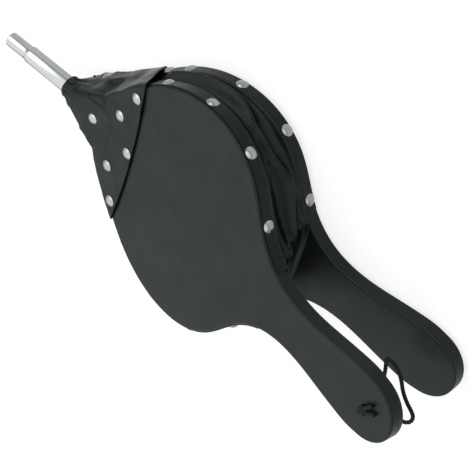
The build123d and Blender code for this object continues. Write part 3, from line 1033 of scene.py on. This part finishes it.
def off_wood(points):
    """Moves the wrap off the lower board, the block and the upper board."""
    points = points.copy()
    s = FRONT_X - points[..., 0]
    behind_front = smoothstep((s - BLOCK_FRONT_S + 2.5) / 1.5)
    low_half = np.interp(s, (BLOCK_FRONT_S, NOSE_TAPER_S), (BLOCK_FRONT_HALF, NOSE_TAPER_HALF))
    low_half = np.where(s > NOSE_TAPER_S, half_width(s), low_half)
    y, z = off_section(points[..., 1], points[..., 2], low_half, LOWER_Z + BOARD_T / 2, BOARD_T / 2)
    points[..., 1] += y * behind_front
    points[..., 2] += z * behind_front
    block = (block_half_width(s), INNER_Z + BLOCK_H / 2, BLOCK_H / 2, bevel_round(s))
    y, z = off_section(points[..., 1], points[..., 2], *block)
    on_block = behind_front * (s < BLOCK_REAR_S + 1.5)
    points[..., 1] += y * on_block
    points[..., 2] += z * on_block
    cos, sin = math.cos(REST_OPEN), math.sin(REST_OPEN)
    x = points[..., 0] - HINGE_X
    above = x * sin + (points[..., 2] - HINGE_Z) * cos
    back = UPPER_DATUM - (x * cos - (points[..., 2] - HINGE_Z) * sin)
    y, rise = off_section(points[..., 1], above, half_width(back), -BOARD_T / 2, BOARD_T / 2)
    on_board = back > 0
    points[..., 1] += y * on_board
    points[..., 0] += rise * sin * on_board
    points[..., 2] += rise * cos * on_board
    return points


def off_strip(points):
    """Lifts the wrap over the hinge strip."""
    points = points.copy()
    x = points[..., 0] - HINGE_X
    over_block = points[..., 2] - HINGE_Z
    over_board = x * math.sin(REST_OPEN) + over_block * math.cos(REST_OPEN)
    above = np.where(x < 0, over_board, over_block)
    over_strip = smoothstep((STRIP_REACH + 3.5 - np.abs(x)) / 3)
    over_strip = over_strip * smoothstep((STRIP_HALF + 1.5 - np.abs(points[..., 1])) / 1.5)
    lift = np.maximum(STRIP_T + CLEAR - above, 0) * (above > -3)
    points[..., 2] += lift * over_strip
    return points


def relaxed(points, rounds):
    """Evens out a loop-by-length grid, round the loop more than along it."""
    for _ in range(rounds):
        points = points / 2 + (np.roll(points, 1, 0) + np.roll(points, -1, 0)) / 4
    for _ in range(rounds // 2):
        points[:, 1:-1] = points[:, 1:-1] / 2 + (points[:, 2:] + points[:, :-2]) / 4
    return points


# Dents: station, offset to the -Y side, height, radius, depth
DENTS = (
    (-31.0, 9.5, HINGE_Z + 1.0, 6.0, 1.8),
    (-38.0, 3.0, HINGE_Z + 1.0, 5.0, 1.4),
    (-17.0, 17.5, HINGE_Z + 1.5, 4.5, 1.2),
    (-22.0, 16.0, INNER_Z + 5.0, 7.0, 1.6),
    (-4.0, 29.0, INNER_Z + 7.0, 8.0, 1.8),
    (14.0, 51.0, INNER_Z + 3.0, 8.0, 1.4),
    (-28.0, -11.0, HINGE_Z - 2.0, 6.0, 1.7),
    (-5.0, -28.0, INNER_Z + 6.0, 8.0, 1.8),
    (14.0, -51.0, INNER_Z + 3.0, 8.0, 1.4),
)


def wrap_relief(points):
    """Dents, gathers at the pipe, a pucker round each nail, the hinge valley and a rolled lip."""
    centre = points * (1, 0, 0) + (0, 0, PIPE_Z)
    around_grid = np.roll(points, -1, 0) - np.roll(points, 1, 0)
    normal = np.cross(np.gradient(points, axis=1), around_grid)
    normal /= np.maximum(np.linalg.norm(normal, axis=2, keepdims=True), 1e-9)
    normal *= np.sign(np.sum(normal * (points - centre), axis=2).mean())
    flat = points.reshape(-1, 3)
    outward = normal.reshape(-1, 3)
    height = noise_at(flat, 0.06, 11) * 0.7 + noise_at(flat, 0.15, 12) * 0.28
    for s, y, z, radius, depth in DENTS:
        near = np.linalg.norm(flat - (FRONT_X - s, -y, z), axis=1)
        height -= depth * np.exp(-((near / radius) ** 2))
    for origin, _ in WRAP_NAIL_PLACES:
        near = np.linalg.norm(flat - origin, axis=1)
        height -= 0.4 * np.exp(-((near / 5.5) ** 4))
        height += 0.35 * np.exp(-(((near - 7.5) / 2.0) ** 2))
    station = FRONT_X - flat[:, 0]
    angle = np.arctan2(flat[:, 2] - PIPE_Z, flat[:, 1])
    gathers = 0.55 * np.sin(7 * angle + 1.5 * np.sin(2 * angle)) + 0.3 * np.sin(13 * angle + 0.8)
    height += gathers * smoothstep((station + 48) / 5) * smoothstep((-20 - station) / 22)
    height += 0.6 * np.exp(-(((station - WRAP_FRONT_S - 1.8) / 1.5) ** 2))
    on_top = smoothstep(outward[:, 2] * 2 - 0.6)
    height -= 0.9 * on_top * np.exp(-(((flat[:, 0] - HINGE_X) / 3.0) ** 2))
    return points + normal * height.reshape(points.shape[:2])[..., None]


def add_nose_wrap():
    """One leather stretched round the nose, from the pipe back over both boards."""
    grid = []
    for across, down, rear, angle in wrap_loop():
        s = np.linspace(WRAP_FRONT_S, rear, WRAP_COLUMNS)
        ring_r = LIP_R + 0.4 * smoothstep((s + 46) / 6)
        turn = math.radians(angle)
        ring = lower_point(s, ring_r * math.cos(turn), PIPE_Z + ring_r * math.sin(turn))
        opened = smoothstep((s + 44) / 13)[:, None]
        grid.append(ring * (1 - opened) + wrap_on_wood(s, across, down) * opened)
    points = relaxed(off_wood(over_corners(np.array(grid))), 4)
    points = off_strip(off_wood(relaxed(wrap_relief(points), 1)))
    mesh = grid_mesh("nose_wrap_leather", points, closed_rows=True)
    clean(mesh)
    face_outward(mesh, lower_point(-20.0, 0, HINGE_Z + TOP_OUT), (0, 0, 1))
    wrap = add_piece("nose_wrap_leather", mesh, "black_leather")
    thicken(wrap, 1.1)
    bend_at_hinge(wrap)
    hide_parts("nose_wrap", "nose_wrap_rear")


add_nose_wrap()


# ---- Hidden leather: hinge strip and intake flap ----
def plate(name, points, thickness, slot):
    """A thin plate from a grid of its upper side's points."""
    mesh = grid_mesh(name, points)
    clean(mesh)
    face_outward(mesh, points[len(points) // 2, points.shape[1] // 2], (0, 0, 1))
    piece = add_piece(name, mesh, slot)
    thicken(piece, thickness)
    return piece


def add_hinge_strip():
    rows = []
    for y in np.linspace(-STRIP_HALF, STRIP_HALF, 25):
        back = np.linspace(-STRIP_REACH, 0, 14)[:-1]
        on_board = swung(np.stack([back, 0 * back + y, 0 * back + STRIP_T], -1))
        ahead = np.linspace(0.3, STRIP_REACH, 14)
        on_block = np.stack([HINGE_X + ahead, 0 * ahead + y, 0 * ahead + HINGE_Z + STRIP_T], -1)
        rows.append(np.concatenate([on_board, on_block]))
    strip = plate("hinge_strip_leather", np.array(rows), STRIP_T - 0.1, "inner_leather")
    bend_at_hinge(strip)
    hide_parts("hinge_strip")


FLAP_HALF_W = 19.0
FLAP_FRONT_S = 86.0
FLAP_REAR_S = 123.0
FLAP_T = 1.5
FLAP_TAB = 12.0
FLAP_CORNER = 8.0


def add_flap():
    """The valve leather, slightly curled at its free end, and the margin tacked down before it."""
    rows = []
    for s in np.linspace(FLAP_FRONT_S, FLAP_REAR_S, 30):
        into_corner = max(0.0, s - (FLAP_REAR_S - FLAP_CORNER))
        half = FLAP_HALF_W - FLAP_CORNER + math.sqrt(max(FLAP_CORNER**2 - into_corner**2, 0.0))
        y = np.linspace(-half, half, 26)
        curl = 0.5 * smoothstep((s - 100) / 23) * (y / FLAP_HALF_W) ** 2
        rows.append(lower_point(s, y, INNER_Z + FLAP_T + curl))
    flap = plate("intake_flap_leather", np.array(rows), FLAP_T - 0.1, "inner_leather")
    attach(flap, "flap")
    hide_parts("intake_flap")
    rows = []
    for s in np.linspace(FLAP_FRONT_S - 0.3 - FLAP_TAB, FLAP_FRONT_S - 0.3, 10):
        y = np.linspace(-FLAP_HALF_W, FLAP_HALF_W, 26)
        rows.append(lower_point(s, y, INNER_Z + FLAP_T))
    margin = plate("flap_margin_leather", np.array(rows), FLAP_T - 0.1, "inner_leather")
    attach(margin, "lower")
    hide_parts("flap_margin")


add_hinge_strip()
add_flap()


# ---- Finishes of the CAD nodes that stay ----
CAD_FINISH = {
    "lower_board": "painted_board",
    "upper_board": "painted_board",
    "nose_block": "bare_wood",
    "block_screws": "steel",
    "flap_tacks": "steel",
}


def finish_cad_nodes():
    for node, slot in CAD_FINISH.items():
        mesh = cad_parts[node].data
        mesh.materials.clear()
        mesh.materials.append(FINISHES[slot])


finish_cad_nodes()


# ---- Stage and light ----
FLOOR_HALF = 6.0
FLOOR_WHITE = 0.18
FLOOR_GLOW = 0.76
HORIZON_LIGHT = 0.35
OVERHEAD_LIGHT = 1.9
FULL_LIGHT_FROM = 0.6


def add_floor():
    """A white floor with a glow of its own, which keeps the shadows faint."""
    mesh = bpy.data.meshes.new("floor")
    half = FLOOR_HALF
    corners = [(-half, -half, 0), (half, -half, 0), (half, half, 0), (-half, half, 0)]
    mesh.from_pydata(corners, [], [(0, 1, 2, 3)])
    floor = bpy.data.objects.new("floor", mesh)
    bpy.context.scene.collection.objects.link(floor)
    white = Finish("floor_white", (FLOOR_WHITE, FLOOR_WHITE, FLOOR_WHITE), 0.95, specular=0.0)
    white.shader.inputs["Emission Color"].default_value = (1, 1, 1, 1)
    white.shader.inputs["Emission Strength"].default_value = FLOOR_GLOW
    mesh.materials.append(white.material)


def add_light(name, at, size, power, target=(0.0, 0.0, 0.04)):
    data = bpy.data.lights.new(name, "AREA")
    data.shape = "DISK"
    data.size = size
    data.energy = power
    light = bpy.data.objects.new(name, data)
    light.location = at
    aim = Vector(target) - Vector(at)
    light.rotation_mode = "QUATERNION"
    light.rotation_quaternion = aim.to_track_quat("-Z", "Y")
    bpy.context.scene.collection.objects.link(light)


def add_world():
    """A bright tent overhead that darkens towards the horizon."""
    world = bpy.data.worlds.new("studio")
    world.use_nodes = True
    nodes, links = world.node_tree.nodes, world.node_tree.links
    direction = nodes.new("ShaderNodeTexCoord").outputs["Generated"]
    height = nodes.new("ShaderNodeSeparateXYZ")
    links.new(direction, height.inputs["Vector"])
    ramp = nodes.new("ShaderNodeMapRange")
    ramp.interpolation_type = "SMOOTHSTEP"
    ramp.inputs["From Min"].default_value = 0.0
    ramp.inputs["From Max"].default_value = FULL_LIGHT_FROM
    ramp.inputs["To Min"].default_value = HORIZON_LIGHT
    ramp.inputs["To Max"].default_value = OVERHEAD_LIGHT
    links.new(height.outputs["Z"], ramp.inputs["Value"])
    links.new(ramp.outputs["Result"], nodes["Background"].inputs["Strength"])
    nodes["Background"].inputs["Color"].default_value = (1, 1, 1, 1)
    bpy.context.scene.world = world


add_floor()
add_world()
add_light("key", (0.51, -0.95, 1.04), 1.6, 8)
bpy.context.scene.view_settings.view_transform = "Standard"
